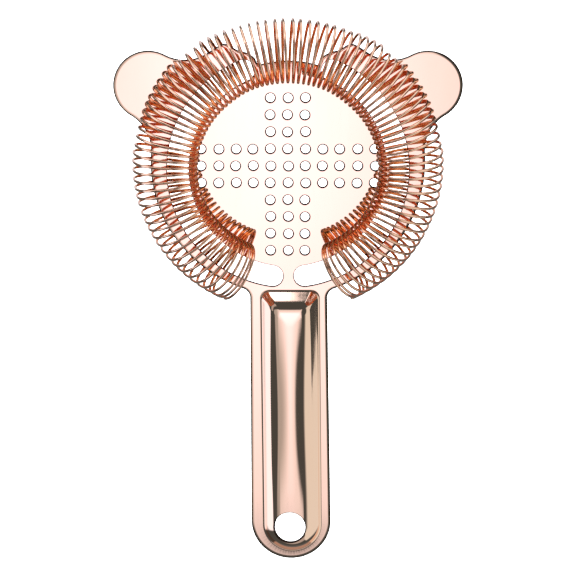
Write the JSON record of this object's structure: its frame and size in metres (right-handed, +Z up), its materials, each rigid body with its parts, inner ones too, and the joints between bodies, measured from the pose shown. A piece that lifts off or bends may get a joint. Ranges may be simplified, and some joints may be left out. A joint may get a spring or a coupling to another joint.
{
  "type": "hawthorne strainer",
  "caption": "Flat bar strainer: a perforated round disc with two ears and a long ribbed handle with a hang hole, and a coil spring wound round the disc's rim to seal a mixing tin",
  "frame": {"origin": "under the middle of the strainer's overall box, on the surface it lies on", "axes": "+Z up out of the spring side of the disc, +Y from the handle towards the head of the disc, +X towards the ear on the right when looking down on the spring side with the head away"},
  "size_m": [0.1202, 0.1962, 0.0233],
  "materials": {
    "polished_copper_sheet": "mirror-polished copper plating on stainless steel sheet",
    "polished_copper_wire": "bright copper plating on stainless steel spring wire"
  },
  "bodies": {
    "plate": {"strainer_plate": "polished_copper_sheet"},
    "spring": {"coil_spring": "polished_copper_wire"}
  },
  "joints": [
    {"name": "spring_play", "type": "slide", "parent": "plate", "child": "spring", "axis": [0, 1, 0], "range_m": [-0.0016, 0.0008]}
  ]
}
